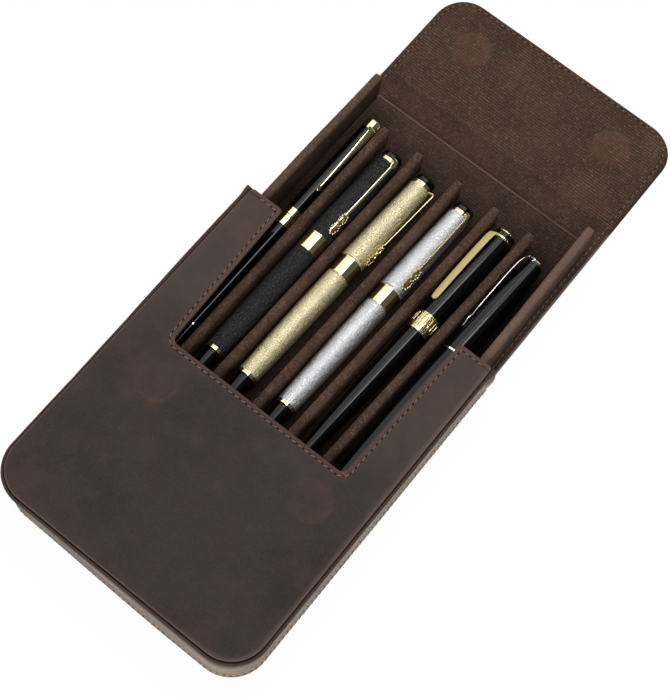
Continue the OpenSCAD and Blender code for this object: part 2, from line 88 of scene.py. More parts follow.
world = bpy.data.worlds.new("sky")
world.use_nodes = True
sky = world.node_tree.nodes["Background"].inputs
sky[0].default_value, sky[1].default_value = (*studio["skyColour"], 1), studio["skyLevel"]
scene.world = world
scene.view_settings.view_transform = "Standard"
print("camera and lamps set")


class Wire:
    # one socket; sums and products on it add Math nodes
    def __init__(self, finish, socket):
        self.finish, self.socket = finish, socket

    def maths(self, operation, *others, flip=False):
        made = self.finish.tree.nodes.new("ShaderNodeMath")
        made.operation = operation
        values = (self, *others)
        for k, value in enumerate(reversed(values) if flip else values):
            self.finish.join(value, made.inputs[k])
        return Wire(self.finish, made.outputs[0])

    def __add__(self, other): return self.maths("ADD", other)
    def __sub__(self, other): return self.maths("SUBTRACT", other)
    def __rsub__(self, other): return self.maths("SUBTRACT", other, flip=True)
    def __mul__(self, other): return self.maths("MULTIPLY", other)
    __radd__ = __add__
    __rmul__ = __mul__


class Finish:
    # a material and its one node-making method
    def __init__(self, name):
        self.mat = bpy.data.materials.new(name)
        self.mat.use_nodes = True
        self.tree = self.mat.node_tree
        self.tree.nodes.clear()
        self.place = self.node("TexCoord", output=3)

    def join(self, value, socket):
        if isinstance(value, Wire):
            self.tree.links.new(value.socket, socket)
        else:
            socket.default_value = (*value, 1) if socket.type == "RGBA" and len(value) == 3 else value

    def node(self, kind, settings={}, inputs={}, output=0):
        made = self.tree.nodes.new("ShaderNode" + kind)
        for key, value in settings.items():
            setattr(made, key, value)
        for key, value in inputs.items():
            self.join(value, made.inputs[key])
        return Wire(self, made.outputs[output]) if made.outputs else None

    # shorthand for the nodes that every finish uses
    def cloud(self, size, detail=3, rough=0.5, place=None, bend=0):
        return self.node("TexNoise", {}, {"Vector": place or self.place, "Scale": 1/(size*mm),
                                          "Detail": detail, "Roughness": rough, "Distortion": bend})

    def cells(self, size, feature="F1", place=None):
        return self.node("TexVoronoi", {"feature": feature},
                         {"Vector": place or self.place, "Scale": 1/(size*mm)})

    def stripes(self, pitch, direction, wobble):
        # at a scale of 1 the node's bands lie 2*pi/20 apart
        return self.node("TexWave", {"bands_direction": direction},
                         {"Vector": self.place, "Scale": 2*math.pi/(20*pitch*mm), "Distortion": wobble,
                          "Detail": 2}, output=1)

    def turned(self, degrees, scale=(1, 1, 1)):
        return self.node("Mapping", {}, {"Vector": self.place, "Scale": scale,
                                         "Rotation": (0, 0, math.radians(degrees))})

    def mask(self, value, low, high):
        # 0 below low, 1 above high, smooth between them
        return self.node("MapRange", {"interpolation_type": "SMOOTHSTEP"}, {0: value, 1: low, 2: high})

    def mix(self, factor, a, b):
        return self.node("Mix", {"data_type": "RGBA"}, {0: factor, 6: a, 7: b}, output=2)

    def painted(self, name):
        return self.node("Attribute", {"attribute_name": name}, output=2)

    def relief(self, height, depth, under=None):
        sockets = {"Height": height, "Distance": depth*mm, "Strength": 1}
        if under:
            sockets["Normal"] = under
        return self.node("Bump", {}, sockets)

    def finished(self, colour, rough, normal, metal=0, **fixed):
        sockets = {"Base Color": colour, "Roughness": rough, "Metallic": metal, "Normal": normal}
        sockets.update({key.replace("_", " "): value for key, value in fixed.items()})
        surface = self.node("BsdfPrincipled", {}, sockets)
        self.node("OutputMaterial", {}, {"Surface": surface})
        return self.mat


leatherLook = {
    "dark": (0.034, 0.0217, 0.02), "olive": (0.044, 0.0302, 0.0245), "red": (0.068, 0.036, 0.031),
    "rubbed": (0.11, 0.055, 0.042), "bareEdge": (0.23, 0.135, 0.108), "groove": (0.006, 0.004, 0.003),
    "scratch": (0.105, 0.078, 0.066), "pale": (0.6, 0.47, 0.36), "grainDepth": 0.07,
}


def leatherFinish(name):
    f = Finish(name)
    look = leatherLook
    drift = f.cloud(44, 4, 0.5, bend=0.5)
    patch = f.cloud(13, 3, 0.6)
    fine = f.cloud(0.8, 4, 0.7)
    colour = f.mix(f.mask(drift, 0.36, 0.66), look["dark"], look["olive"])
    colour = f.mix(f.mask(f.cloud(31, 4, 0.55, f.turned(35)), 0.5, 0.74)*0.7, colour, look["red"])
    colour = f.mix(f.mask(f.cloud(7, 4, 0.6, f.turned(60)), 0.47, 0.64)*0.26, colour, look["red"])
    colour = f.mix(f.mask(patch, 0.4, 0.76)*0.18, colour, look["scratch"])
    colour = f.mix(f.mask(fine, 0.38, 0.7)*0.26, colour, look["scratch"])
    colour = f.mix(f.mask(f.cloud(0.5, 3, 0.7), 0.52, 0.66)*0.3, colour, look["groove"])
    scuffs = f.cloud(2.2, 3, 0.6, f.turned(24, (1, 0.1, 1)), 0.8)
    colour = f.mix(f.mask(scuffs*0.7 + patch*0.45, 0.7, 0.84)*0.3, colour, look["scratch"])
    # rubbed seams, bare cut edges, pale parts and dark grooves are painted on the mesh; the pale paint is
    # partly painted light, and the groove paint is partly painted shade
    colour = f.mix(f.painted("rub")*(0.5 + 0.7*patch), colour, look["rubbed"])
    colour = f.mix(f.painted("pale")*(0.62 + 0.6*f.cloud(3.5, 4, 0.65)), colour, look["pale"])
    colour = f.mix(f.painted("bareEdge")*(0.6 + 0.5*f.cloud(3, 2)), colour, look["bareEdge"])
    colour = f.mix(f.painted("groove"), colour, look["groove"])
    grain = f.cells(0.55)*0.5 + f.cells(0.95, "SMOOTH_F1")*0.4 + fine*0.5
    bump = f.relief(grain, look["grainDepth"], f.relief(f.cloud(7, 3, 0.6), 0.3))
    return f.finished(colour, 0.56 + 0.2*fine - 0.06*drift, bump, Specular_IOR_Level=0.28)


suedeLooks = {
    "ribbed": {"dark": (0.034, 0.02, 0.015), "body": (0.116, 0.07, 0.05), "light": (0.225, 0.145, 0.108),
               "red": (0.165, 0.08, 0.056), "depth": 0.16, "ribPitch": 1.52, "ribShade": 0.42},
    "worn": {"dark": (0.046, 0.026, 0.018), "body": (0.15, 0.091, 0.063), "light": (0.31, 0.2, 0.145),
             "red": (0.225, 0.105, 0.073), "depth": 0.2, "ribPitch": 1.52, "ribShade": 0.55},
    "brushed": {"dark": (0.034, 0.019, 0.014), "body": (0.134, 0.078, 0.054), "light": (0.31, 0.195, 0.145),
                "red": (0.16, 0.08, 0.057), "depth": 0.26, "ribPitch": 0},
}
suedeSeamAndHighlight = (0.33, 0.215, 0.16)


def suedeFinish(name, kind):
    f = Finish(name)
    look = suedeLooks[kind]
    drift = f.cloud(22, 4, 0.6)
    fibre = f.cloud(0.42, 4, 0.75, bend=0.8)
    tuft = f.cloud(1.5, 3, 0.6)
    colour = f.mix(f.mask(fibre, 0.34, 0.66), look["dark"], look["body"])
    colour = f.mix(f.mask(f.cloud(15, 3), 0.42, 0.66)*0.24, colour, look["red"])
    colour = f.mix(f.mask(drift, 0.4, 0.72)*0.17, colour, look["light"])
    colour = f.mix(f.mask(fibre*0.6 + tuft*0.5, 0.56, 0.68)*0.6, colour, look["light"])
    colour = f.mix(f.mask(f.cloud(0.9, 2, 0.6), 0.54, 0.64)*0.42, colour, look["dark"])
    height = fibre*0.6 + tuft*0.4
    if look["ribPitch"]:
        # fine ribs across the panel, broken up by a shorter cross pattern
        cord = f.stripes(look["ribPitch"], "Y", 1.4)
        cross = f.stripes(look["ribPitch"]*0.8, "X", 3)
        weave = f.mask(cord*0.75 + cross*0.25 + fibre*0.3, 0.3, 0.95)
        colour = f.mix(look["ribShade"]*(1 - weave), colour, look["dark"])
        height = height*0.5 + weave*1.1
    # rubbed parts are redder; the seam paint lightens seams and folded edges and is also a painted highlight
    # on the tray walls' tops; the groove paint is painted shade
    colour = f.mix(f.painted("rub")*(0.35 + 0.6*tuft), colour, look["red"])
    colour = f.mix(f.painted("seam")*(0.5 + 0.6*tuft), colour, suedeSeamAndHighlight)
    colour = f.mix(f.painted("groove"), colour, leatherLook["groove"])
    bump = f.relief(height, look["depth"], f.relief(drift, 0.5))
    return f.finished(colour, 0.95, bump, Specular_IOR_Level=0.12)


def fibreFinish(name, light, dark, size=0.35, detail=3, rough=0.75, depth=0.06):
    # threads and pressed board
    f = Finish(name)
    fibre = f.cloud(size, detail, 0.7)
    return f.finished(f.mix(f.mask(fibre, 0.3, 0.7), dark, light), rough, f.relief(fibre, depth))


def lacquerFinish(name, tint, dust):
    f = Finish(name)
    specks = f.mask(f.cloud(0.5, 2, 0.6), 0.7, 0.78)
    return f.finished(f.mix(specks*0.08, tint, dust), 0.07 + 0.05*f.cloud(6, 4, 0.6),
                      f.relief(f.cloud(9, 2), 0.008), Specular_IOR_Level=0.36)


def metalFinish(name, tone, shade, rough=0.09, chase=0, metal=1):
    # polished metal; chase adds fine engraved work with darkened hollows
    f = Finish(name)
    wear = f.cloud(1.2, 4, 0.65)
    colour = f.mix(f.mask(wear, 0.45, 0.8)*0.35, tone, shade)
    height = f.cloud(0.8, 2)*0.03
    if chase:
        scroll = f.mask(f.stripes(1.3, "X", 9)*0.6 + f.cells(0.9, "DISTANCE_TO_EDGE")*0.9, 0.28, 0.52)
        colour = f.mix(chase*(1 - scroll), colour, (0.1, 0.045, 0.02))
        height = height + scroll*chase*0.6
    return f.finished(colour, rough + 0.1*f.mask(wear, 0.4, 0.8), f.relief(height, 0.2), metal)


def crackleFinish(name, high, low, metal, rough, depth, cell):
    # a thin grained sleeve: fine wrinkles over small plates
    f = Finish(name)
    wrinkle = f.cloud(cell*0.45, 4, 0.7, bend=1.4)
    crack = f.mask(f.cells(cell, "DISTANCE_TO_EDGE", f.turned(20, (1, 0.6, 1))), 0, 0.16)
    ridge = wrinkle*0.8 + crack*0.5
    return f.finished(f.mix(f.mask(ridge, 0.3, 0.75), low, high), rough + 0.12*(1 - crack),
                      f.relief(ridge, depth), metal)


def jewelFinish(name, colour):
    f = Finish(name)
    facet = f.cells(0.5)
    shaded = f.mix(facet, colour, [c*0.3 for c in colour])
    return f.finished(shaded, 0.12 + 0.1*facet, f.relief(facet, 0.05))


finishes = {
    "leather": leatherFinish("wornLeather"),
    "suede": suedeFinish("ribbedSuede", "ribbed"),
    "flapSuede": suedeFinish("flapSuede", "worn"),
    "nap": suedeFinish("brushedSuede", "brushed"),
    "thread": fibreFinish("rustThread", (0.44, 0.27, 0.205), (0.19, 0.095, 0.07)),
    "paleThread": fibreFinish("tanThread", (0.4, 0.235, 0.165), (0.18, 0.09, 0.062)),
    "hole": fibreFinish("needleHoleShade", (0.01, 0.006, 0.005), (0.004, 0.003, 0.003)),
    "board": fibreFinish("pressedBoard", (0.38, 0.29, 0.19), (0.23, 0.17, 0.11), 0.7, 5, 0.9, 0.08),
    "magnet": metalFinish("platedSteel", (0.55, 0.55, 0.56), (0.35, 0.35, 0.36), rough=0.3),
    "lacquer": lacquerFinish("blackLacquer", (0.0018, 0.0018, 0.0021), (0.03, 0.03, 0.032)),
    "gold": metalFinish("polishedGold", (0.93, 0.83, 0.5), (0.78, 0.62, 0.3)),
    "chasedGold": metalFinish("chasedGold", (0.94, 0.8, 0.46), (0.78, 0.56, 0.25), rough=0.12, chase=0.42),
    "strapGold": metalFinish("strapGold", (1, 0.81, 0.37), (0.98, 0.7, 0.27),
                             rough=0.24, chase=0.05, metal=0.05),
    "silver": metalFinish("polishedSilver", (0.9, 0.9, 0.91), (0.72, 0.72, 0.73)),
    "blackSleeve": crackleFinish("blackGrain", (0.026, 0.026, 0.027), (0.0006, 0.0006, 0.0008),
                                 metal=0, rough=0.2, depth=0.42, cell=1.3),
    "goldSleeve": crackleFinish("goldCrackle", (1, 0.92, 0.6), (0.94, 0.74, 0.37),
                                metal=0.86, rough=0.22, depth=0.15, cell=0.7),
    "silverSleeve": crackleFinish("silverCrackle", (0.96, 0.97, 0.98), (0.78, 0.79, 0.82),
                                  metal=0.92, rough=0.24, depth=0.15, cell=0.7),
    "redJewel": jewelFinish("redJewel", (0.45, 0.02, 0.015)),
    "greenJewel": jewelFinish("greenJewel", (0.04, 0.2, 0.05)),
}
print("finishes made")


def meshObject(name, bm, finish):
    mesh = bpy.data.meshes.new(name)
    bm.to_mesh(mesh)
    bm.free()
    mesh.materials.append(finish)
    made = bpy.data.objects.new(name, mesh)
    scene.collection.objects.link(made)
    return made


floorFinish = Finish("paleFloor")
seen, mirrored, through = (floorFinish.node("LightPath", output=k) for k in (0, 3, 6))
glowing = floorFinish.node("Emission", {}, {"Color": (1, 1, 1, 1), "Strength": studio["glowStrength"]})
matte = floorFinish.node("BsdfPrincipled", {}, {"Base Color": studio["floorColour"], "Roughness": 0.8})
glow = (seen + mirrored + through)*studio["floorGlow"]
both = floorFinish.node("MixShader", {}, {0: glow, 1: matte, 2: glowing})
floorFinish.node("OutputMaterial", {}, {"Surface": both})

floorShape = bmesh.new()
bmesh.ops.create_grid(floorShape, x_segments=1, y_segments=1, size=studio["floorSize"])
meshObject("floor", floorShape, floorFinish.mat)


def smoothStep(value, low, high):
    t = np.clip((value - low)/(high - low), 0, 1)
    return t*t*(3 - 2*t)


def fade(value, low, high):
    return 1 - smoothStep(value, low, high)


def ripple(x, y, size, depth, seed=0):
    return depth*noise.noise(Vector((x/size, y/size, seed)))


def loopPoints(corners, inset=0, arc=10, side=3):
    # the outline through (x, y, radius) corners, anticlockwise, moved inwards by inset
    count = len(corners)
    lines = []
    for i in range(count):
        a, b = Vector(corners[i][:2]), Vector(corners[(i + 1) % count][:2])
        along = (b - a).normalized()
        lines.append((a + Vector((-along.y, along.x))*inset, along, (b - a).length))
    arcs = []
    for i in range(count):
        p0, d0, _ = lines[i - 1]
        p1, d1, _ = lines[i]
        cross = d0.x*d1.y - d0.y*d1.x
        corner = p0 + d0*(((p1 - p0).x*d1.y - (p1 - p0).y*d1.x)/cross)
        bend = 1 if cross > 0 else -1
        radius = max(corners[i][2] - bend*inset, 0.05)
        turn = math.atan2(cross, d0.dot(d1))
        start = corner - d0*radius*math.tan(abs(turn)/2)
        centre = start + Vector((-d0.y, d0.x))*radius*bend
        spoke = start - centre
        arcs.append([centre + Matrix.Rotation(turn*k/arc, 2) @ spoke for k in range(arc + 1)])
    points = []
    for i in range(count):
        points += arcs[i]
        a, b = arcs[i][-1], arcs[(i + 1) % count][0]
        cuts = max(1, int(lines[i][2]/side))
        points += [a.lerp(b, k/cuts) for k in range(1, cuts)]
    return points


def pocket(wide, foot, corner, mouth, ear):
    # the corners of a piece that is evenly wide, from its upper left
    return [(-wide, mouth, ear), (-wide, foot, corner), (wide, foot, corner), (wide, mouth, ear)]


def outline(corners, inset):
    return [tuple(p) for p in loopPoints(corners, inset)]


def splitAt(line):
    # opens a loop at its longest gap
    k = max(range(len(line)), key=lambda i: math.dist(line[i - 1], line[i]))
    return line[k:] + line[:k]


def distanceTo(points, line):
    # how far each point is, in plan, from an open line
    points = points[:, :2]
    a, b = np.array(line[:-1], float), np.array(line[1:], float)
    best = np.full(len(points), 1e9)
    for start, step in zip(a, b - a):
        t = np.clip(((points - start) @ step)/max(step @ step, 1e-9), 0, 1)
        best = np.minimum(best, np.hypot(*(points - start - t[:, None]*step).T))
    return best


def plan(verts):
    # the x and y of vertices, in mm
    return np.array([v.co[:2] for v in verts])/mm


def measured(line):
    # a line's points, and how far along it each one lies
    steps = [math.dist(a, b) for a, b in zip(line, line[1:])]
    return np.array(line), np.concatenate([[0], np.cumsum(steps)])


def footLine(wide, foot, corner, upTo, inset=0):
    # a measured line down one side, round the foot and up the other
    ring = loopPoints(pocket(wide, foot, corner, 60, 1), inset, arc=40, side=2)
    line = splitAt([tuple(p) for p in ring if p.y < upTo - 0.01])
    return measured([(line[0][0], upTo), *line, (line[-1][0], upTo)])


def stepAlong(line, at, s):
    # the point s along a line, and the direction outwards from it
    x, y = (np.interp(s, at, line[:, k]) for k in (0, 1))
    s0, s1 = max(0, s - 0.4), min(at[-1], s + 0.4)
    dx, dy = (np.interp(s1, at, line[:, k]) - np.interp(s0, at, line[:, k]) for k in (0, 1))
    size = math.hypot(dx, dy)
    return x, y, dy/size, -dx/size


def slab(corners, z0, z1, soft, cell, insets=(), side=3):
    # a flat piece with softened edges; insets add loops to its upper face
    bm = bmesh.new()
    profile = [(soft, z0), (soft*0.3, z0 + soft*0.3), (0, z0 + soft), (0, z1 - soft),
               (soft*0.3, z1 - soft*0.3), (soft, z1)] + [(inset, z1) for inset in insets]
    places = [[(p.x*mm, p.y*mm, z*mm) for p in loopPoints(corners, inset, side=side)]
              for inset, z in profile]
    ring = [bm.verts.new(p) for p in places[0]]
    edges = [bm.edges.new((ring[k - 1], ring[k])) for k in range(len(ring))]
    fillFlat(bm, edges, cell)
    for place in places[1:]:
        ring, edges = growRing(bm, ring, edges, place)
    fillFlat(bm, edges, cell)
    bmesh.ops.remove_doubles(bm, verts=bm.verts, dist=2e-6)
    bmesh.ops.recalc_face_normals(bm, faces=bm.faces)
    return bm


def growRing(bm, ring, edges, place):
    # extrudes a closed ring of vertices and moves the new ones to place, in the same order
    made = bmesh.ops.extrude_edge_only(bm, edges=edges)["geom"]
    fresh = {g for g in made if isinstance(g, bmesh.types.BMVert)}
    grown = [next(e.other_vert(v) for e in v.link_edges if e.other_vert(v) in fresh) for v in ring]
    for v, at in zip(grown, place):
        v.co = at
    return grown, [bm.edges.get((grown[k - 1], grown[k])) for k in range(len(grown))]


def fillFlat(bm, loop, cell):
    # fills a flat loop: even cells inside it and triangles between them and the loop
    ring = [next(v for v in e.verts if v in loop[(k + 1) % len(loop)].verts) for k, e in enumerate(loop)]
    ring = [tuple(v.co[:2]) for v in ring]
    z = loop[0].verts[0].co.z
    edge = np.array(ring)
    low, high = edge.min(0), edge.max(0)
    counts = np.maximum(2, np.round((high - low)/(cell*mm)).astype(int))
    size, centre = (high - low)/2, (high + low)/2
    place = Matrix.Translation((*centre, z)) @ Matrix.Diagonal((*size, 1, 1))
    grid = bmesh.ops.create_grid(bm, x_segments=int(counts[0]), y_segments=int(counts[1]), size=1,
                                 matrix=place)["verts"]
    flat = np.array([v.co[:2] for v in grid])
    inside = np.zeros(len(flat), bool)
    for (x0, y0), (x1, y1) in zip(edge, np.roll(edge, -1, 0)):
        crosses = (y0 > flat[:, 1]) != (y1 > flat[:, 1])
        if y1 != y0:
            inside ^= crosses & (flat[:, 0] < (x1 - x0)*(flat[:, 1] - y0)/(y1 - y0) + x0)
    inside &= distanceTo(flat, [*ring, ring[0]]) > 0.55*cell*mm
    bmesh.ops.delete(bm, geom=[v for v, kept in zip(grid, inside) if not kept], context="VERTS")
    kept = [v for v in grid if v.is_valid]
    wires = {e for v in kept for e in v.link_edges if not e.link_faces}
    bmesh.ops.delete(bm, geom=list(wires), context="EDGES")
    kept = [v for v in kept if v.is_valid]
    bmesh.ops.delete(bm, geom=[v for v in kept if not v.link_faces], context="VERTS")
    rim = {e for v in kept if v.is_valid for e in v.link_edges if len(e.link_faces) == 1}
    bmesh.ops.triangle_fill(bm, edges=loop + list(rim), use_beauty=True, use_dissolve=False, normal=(0, 0, 1))


def mappedGrid(across, along, shape):
    # a closed tube whose points are placed by shape(u, v): u goes round it and v along it
    bm = bmesh.new()
    bmesh.ops.create_grid(bm, x_segments=across, y_segments=along, size=0.5)
    for v in bm.verts:
        v.co = Vector(shape(v.co.x + 0.5, v.co.y + 0.5))*mm
    bmesh.ops.remove_doubles(bm, verts=bm.verts, dist=1e-7)
    bmesh.ops.holes_fill(bm, edges=[e for e in bm.edges if e.is_boundary])
    bmesh.ops.recalc_face_normals(bm, faces=bm.faces)
    return bm


def sectionGrid(section, along, shape):
    # a closed tube whose section's points are placed by shape(*point, v)
    count = len(section)
    return mappedGrid(count, along, lambda u, v: shape(*section[round(u*count) % count], v))


def piece(name, bm, finish, body, paints={}, angle=50, replaced=()):
    made = meshObject(name, bm, finishes[finish])
    mesh = made.data
    mesh.polygons.foreach_set("use_smooth", [True]*len(mesh.polygons))
    mesh.set_sharp_from_angle(angle=math.radians(angle))
    if paints:
        where = np.empty(len(mesh.vertices)*3)
        mesh.vertices.foreach_get("co", where)
        where = where.reshape(-1, 3)/mm
        for key, paint in paints.items():
            mesh.attributes.new(key, "FLOAT", "POINT").data.foreach_set("value", np.clip(paint(where), 0, 1))
    if body:
        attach(made, body)
    if replaced:
        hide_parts(*replaced)
    return made


def bead(bm, place, size, turn=0, rings=5):
    matrix = Matrix.Translation([c*mm for c in place]) @ Matrix.Rotation(turn, 4, "Z") \
        @ Matrix.Diagonal([c*mm/2 for c in size] + [1])
    bmesh.ops.create_uvsphere(bm, u_segments=8, v_segments=rings, radius=1, matrix=matrix)


def sew(name, lines, row, height, body=None):
    # short threads every pitch along some lines; height(x, y) gives where each lies
    bm = bmesh.new()
    for line, at in map(measured, lines):
        for s in np.arange(row["start"], at[-1], row["pitch"]):
            x, y, outX, outY = stepAlong(line, at, s)
            bead(bm, (x, y, height(x, y)), (row["long"], row["thick"], row["thick"]),
                 math.atan2(outX, -outY) + row["slant"], rings=6)
    return piece(name, bm, row["finish"], body)


def magnetBump(x, y, marks, size, rise):
    # a soft dome with a slightly raised ring over each hidden disc
    total = 0
    for mx, my in marks:
        d = math.hypot(x - mx, y - my)
        total += rise*(0.55*fade(d, size - 1.5, size + 1.8) + 0.45*math.exp(-((d - size)/1.1)**2))
    return total


def magnetRub(where, marks, size, ring, disc):
    # wear over each hidden disc: a ring and, fainter, the disc inside it
    total = np.zeros(len(where))
    for mx, my in marks:
        dx, dy = where[:, 0] - mx, where[:, 1] - my
        d, angle = np.hypot(dx, dy), np.arctan2(dy, dx)
        patchy = 0.55 + 0.3*np.sin(angle + mx) + 0.15*np.sin(5*angle)
        total += ring*patchy*(np.exp(-((d - size + 0.3)/0.9)**2) + 0.4*np.exp(-((d - size*0.72)/0.9)**2)) \
            + disc*fade(d, size - 2, size)
    return total


pouch = {"width": 140, "length": 180, "thick": 31.5, "corner": 17.5, "mouthCorner": 2.2, "leather": 1.6,
         "seamWidth": 0.95, "cutMouth": 103.4, "cutFoot": 97.8, "cutDepth": 82, "cutCorner": 3,
         "cutLip": 1.6, "stitchIn": 2.35, "stitchPull": 0.34, "liningIn": 3.2, "magnetSpan": 86.6,
         "magnetShift": 1.9, "magnetY": 101.2, "magnetSize": 9.6, "magnetRise": 0.24}
half, foot = pouch["width"]/2, -pouch["length"]
cutTop, cutFoot, cutEnd = pouch["cutMouth"]/2, pouch["cutFoot"]/2, -pouch["cutDepth"]
frontCorners = [*pocket(half, foot, pouch["corner"], 0, pouch["mouthCorner"]),
                (cutTop, 0, pouch["cutLip"]), (cutFoot, cutEnd, pouch["cutCorner"]),
                (-cutFoot, cutEnd, pouch["cutCorner"]), (-cutTop, 0, pouch["cutLip"])]
cutEdge = [(-half, 0), (-cutTop, 0), (-cutFoot, cutEnd), (cutFoot, cutEnd), (cutTop, 0), (half, 0)]
rimEdge = [p for p in outline(frontCorners[:4], 0) if p[1] < -1]
panelMarks = [(pouch["magnetShift"] + s*pouch["magnetSpan"]/2, -pouch["magnetY"]) for s in (-1, 1)]
top = pouch["thick"]


def panelSwell(x, y):
    return ripple(x, y, 34, 0.16) + ripple(x, y, 11, 0.03, 4)


def frontGaps(where):
    # how far each point is from the mouth and cut-out, and from the sewn rim
    return distanceTo(where, cutEdge), distanceTo(where, rimEdge)


def frontRub(where):
    gap, rim = frontGaps(where)
    return 0.8*fade(gap, 2.2, 3.8) + 0.18*fade(rim, 0.8, 6) + 0.2*smoothStep(where[:, 1], -95, -10) \
        + magnetRub(where, panelMarks, pouch["magnetSize"], 0.85, 0.12)


def frontBare(where):
    gap, rim = frontGaps(where)
    return 0.62*fade(rim, 0.35, 1)*(where[:, 2] > top - 0.9) \
        + 0.4*fade(gap, 0.15, 0.7)*(where[:, 2] < top + 0.3)


def frontGrooveAndShade(where):
    # painted shade along the stitch groove, over its own darker leather, and on the panel's edge below its
    # rounded top where it meets the side wall
    gap, rim = frontGaps(where)
    return 0.5*np.exp(-((gap - pouch["stitchIn"])/0.32)**2) + 0.95*(rim < 0.4)*(where[:, 2] < top - 0.95)


def frontPaintedLight(where):
    # painted light: lighter towards the mouth and the left, where the light falls from the upper left, and
    # along the right rim
    x, y, _ = where.T
    return 0.04*smoothStep(y, -112, -35) + 0.01*fade(x, -50, 0) \
        + 0.1*fade(distanceTo(where, rimEdge), 0.6, 2.6)*smoothStep(x, 30, 60)


frontShape = slab(frontCorners, top - pouch["leather"], top, 0.55, cell=1.6,
                  insets=(0.95, 1.5, 2, 2.35, 2.7, 3.2, 4.2))
upper = [v for v in frontShape.verts if v.co.z > (top - 0.8)*mm]
for v, gap in zip(upper, distanceTo(plan(upper), cutEdge)):
    x, y = v.co.x/mm, v.co.y/mm
    lift = magnetBump(x, y, panelMarks, pouch["magnetSize"], pouch["magnetRise"]) + panelSwell(x, y)
    # the row of stitches pulls the leather down
    lift -= pouch["stitchPull"]*math.exp(-((gap - pouch["stitchIn"])/0.42)**2)
    lift -= 0.12*fade(gap, 0.4, 1.2)
    v.co.z += lift*mm
piece("frontPanel", frontShape, "leather", "pouch",
      {"rub": frontRub, "pale": frontPaintedLight, "bareEdge": frontBare, "groove": frontGrooveAndShade},
      replaced=["front_leather"])

seamLine = splitAt([p for p in outline(frontCorners, pouch["stitchIn"])
                    if abs(p[0]) < half - pouch["stitchIn"] - 0.1 and p[1] > cutEnd - 5])


def onSeam(x, y):
    return top - 0.12 + panelSwell(x, y)


frontRow = {"pitch": 3.6, "start": 1, "slant": 0.14, "long": 2.6, "thick": 0.56, "finish": "thread",
            "slot": "leather"}
# the needle holes are near-black beads between the stitches: painted shade in the holes
holeRow = {**frontRow, "start": frontRow["start"] + frontRow["pitch"]/2, "long": 0.9, "thick": 0.75,
           "finish": "hole"}
sew("frontStitches", [seamLine], frontRow, onSeam, "pouch")
sew("frontHoles", [seamLine], holeRow, onSeam, "pouch")

# the lining rises to the leather along the mouth and the cut-out
liningIn = pouch["liningIn"]
inPouch, liningFoot, liningCorner = half - liningIn, foot + liningIn, pouch["corner"] - liningIn
liningCorners = pocket(inPouch, liningFoot, liningCorner, 0, 1) + frontCorners[4:]
liningShape = slab(liningCorners, top - 3.7, top - 3.1, 0.2, cell=3)
for v, gap in zip(liningShape.verts, distanceTo(plan(liningShape.verts), cutEdge)):
    v.co.z += 1.45*fade(gap, 0.6, 3.9)*mm
frontLining = piece("frontLining", liningShape, "suede", "pouch", replaced=["front_lining"])
liningSize = (2*inPouch*mm, (pouch["length"] - liningIn)*mm)
cutArea = (pouch["cutMouth"] + pouch["cutFoot"])/2*pouch["cutDepth"]*mm*mm
liningSize[0]*liningSize[1] - cutArea
print("front panel made")

path, pathAt = footLine(half, foot, pouch["corner"], 0)
pathTotal = pathAt[-1]
wall = {"ridgePitch": 2.9, "ridge": 0.5, "step": 0.72, "mouthFlare": 2, "flareLength": 9, "tuck": 1.8,
        "leftSwell": 0.9, "liningStep": 2.5, "liningCut": (0.028, 0.472)}    # the lining as cut, in metres
# the side wall's section: distance outside the panel's edge, height
wallSection = [(-2.35, 1.7), (-2.38, 8), (-2.38, 16), (-2.38, 24), (-2.35, 29.7), (-1.75, 29.8), (-1, 29.7),
               (-0.45, 29.45), (0, 29.75), (0.4, 30.3), (0.95, 30.55), (1.4, 30.25), (1.6, 29.45),
               (1.46, 27.6), (1.22, 24.6), (0.96, 21), (0.72, 17), (0.52, 13), (0.4, 9.6), (0.34, 7.2),
               (0.38, 5.6), (0.52, 4.5), (0.78, 3.9), (1.02, 3.45), (1.16, 2.95), (1.18, 2.45), (1.06, 1.98),
               (0.85, 1.66), (0.3, 1.62), (-1, 1.62)]


def tuckAt(x, y):
    # the foot's lower edge is drawn in towards its left corner
    return wall["tuck"]*fade(x, -66, 34)*smoothStep(-y, -foot - 34, -foot - 10)


def ridgeAt(s, z):
    # the seam's small teeth: 1 on a tooth, 0 in the hollow beside it
    return abs(np.sin(np.pi*(s + (z - 2.5)*0.55)/wall["ridgePitch"]))**0.7


def wallPoint(out, z, v):
    s = v*pathTotal
    x, y, nx, ny = stepAlong(path, pathAt, s)
    seam = np.clip((out - 0.4)/0.5, 0, 1)*np.clip((6.4 - z)/2, 0, 1)
    out -= tuckAt(x, y)*np.clip((out + 2)/2.5, 0, 1)*fade(z, 9, 27)
    out += seam*wall["ridge"]*(ridgeAt(s, z) - 0.72)
    if out > -0.5 and z > 4:
        out += ripple(s, z*2.2, 19, 0.16, 3) + ripple(s, z*2, 6, 0.06, 8)
    if out > 0.3 and z > 20:
        out += wall["leftSwell"]*(x < 0)*smoothStep(y, -110, -35)
    if out > 0.3:
        mouth = fade(min(s, pathTotal - s), 0, wall["flareLength"])
        out += wall["mouthFlare"]*mouth**1.5*math.sin(math.pi*np.clip((z - 1.6)/31, 0, 1))
    return x + nx*out, y + ny*out, z


def rimDistance(where):
    # distance outside the panel's edge, negative inside it
    gap = distanceTo(where, path)
    x, y = np.abs(where[:, 0]), where[:, 1]
    cx, cy = half - pouch["corner"], foot + pouch["corner"]
    rounded = np.hypot(x - cx, y - cy) < pouch["corner"]
    return np.where(np.where((x > cx) & (y < cy), rounded, (x < half) & (y > foot)), -gap, gap)


def wallPale(where):
    x, y, z = where.T
    side = 0.7 + 0.3*smoothStep(x + 0.35*y, -90, 10)    # the left side has worn less
    line = 0.8 + 0.2*np.sin(z*1.9 + 0.8*np.sin(y*0.13 + x*0.11))
    return (1 - 0.95*smoothStep(z, 12, 29))*line*side*(z > 1.9)*(z < 29)


